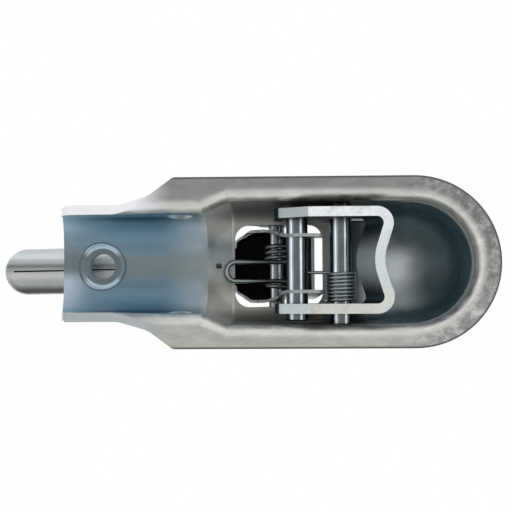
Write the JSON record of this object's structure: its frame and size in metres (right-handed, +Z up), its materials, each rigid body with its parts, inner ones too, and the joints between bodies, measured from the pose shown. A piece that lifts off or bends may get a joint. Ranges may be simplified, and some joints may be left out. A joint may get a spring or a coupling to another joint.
{
  "type": "trailer coupling head",
  "caption": "Pressed-steel trailer coupling head for a 50 mm ball and a round drawbar tube, with a lift handle and a spring-loaded locking jaw.",
  "frame": {"origin": "centre of the towing ball when it is seated in the cup", "axes": "+X points forward, away from the drawbar; +Z points up, so the ball enters from -Z; Y is the axis of the cross pins"},
  "size_m": [0.238, 0.076, 0.072],
  "materials": {
    "housing_zinc": "bright zinc plate, oily",
    "handle_zinc": "satin zinc plate",
    "jaw_zinc": "pale matt zinc plate",
    "pin_steel": "bright turned steel",
    "spring_steel": "dark oiled spring wire"
  },
  "bodies": {
    "head": {"housing": "housing_zinc", "pivot_pin": "pin_steel", "guide_pin": "pin_steel", "jaw_spring": "spring_steel", "handle_spring": "spring_steel"},
    "lever": {"handle": "handle_zinc", "drive_pin": "pin_steel"},
    "locking_jaw": {"jaw": "jaw_zinc"}
  },
  "joints": [
    {"name": "handle_lift", "type": "hinge", "parent": "head", "child": "lever", "pos_m": [-0.0606, 0, 0.029], "axis": [0, 1, 0], "range_deg": [0, 27], "stiffness_Nm_per_rad": 1.5, "springref_deg": -22.92, "deforming": ["handle_spring", "jaw_spring"]},
    {"name": "jaw_draw", "type": "hinge", "parent": "lever", "child": "locking_jaw", "pos_m": [-0.0512, 0, -0.005], "axis": [0, 1, 0], "range_deg": [-27, 0]}
  ],
  "couplings": [
    {"joint": "jaw_draw", "follows": "handle_lift", "ratio": -1}
  ]
}
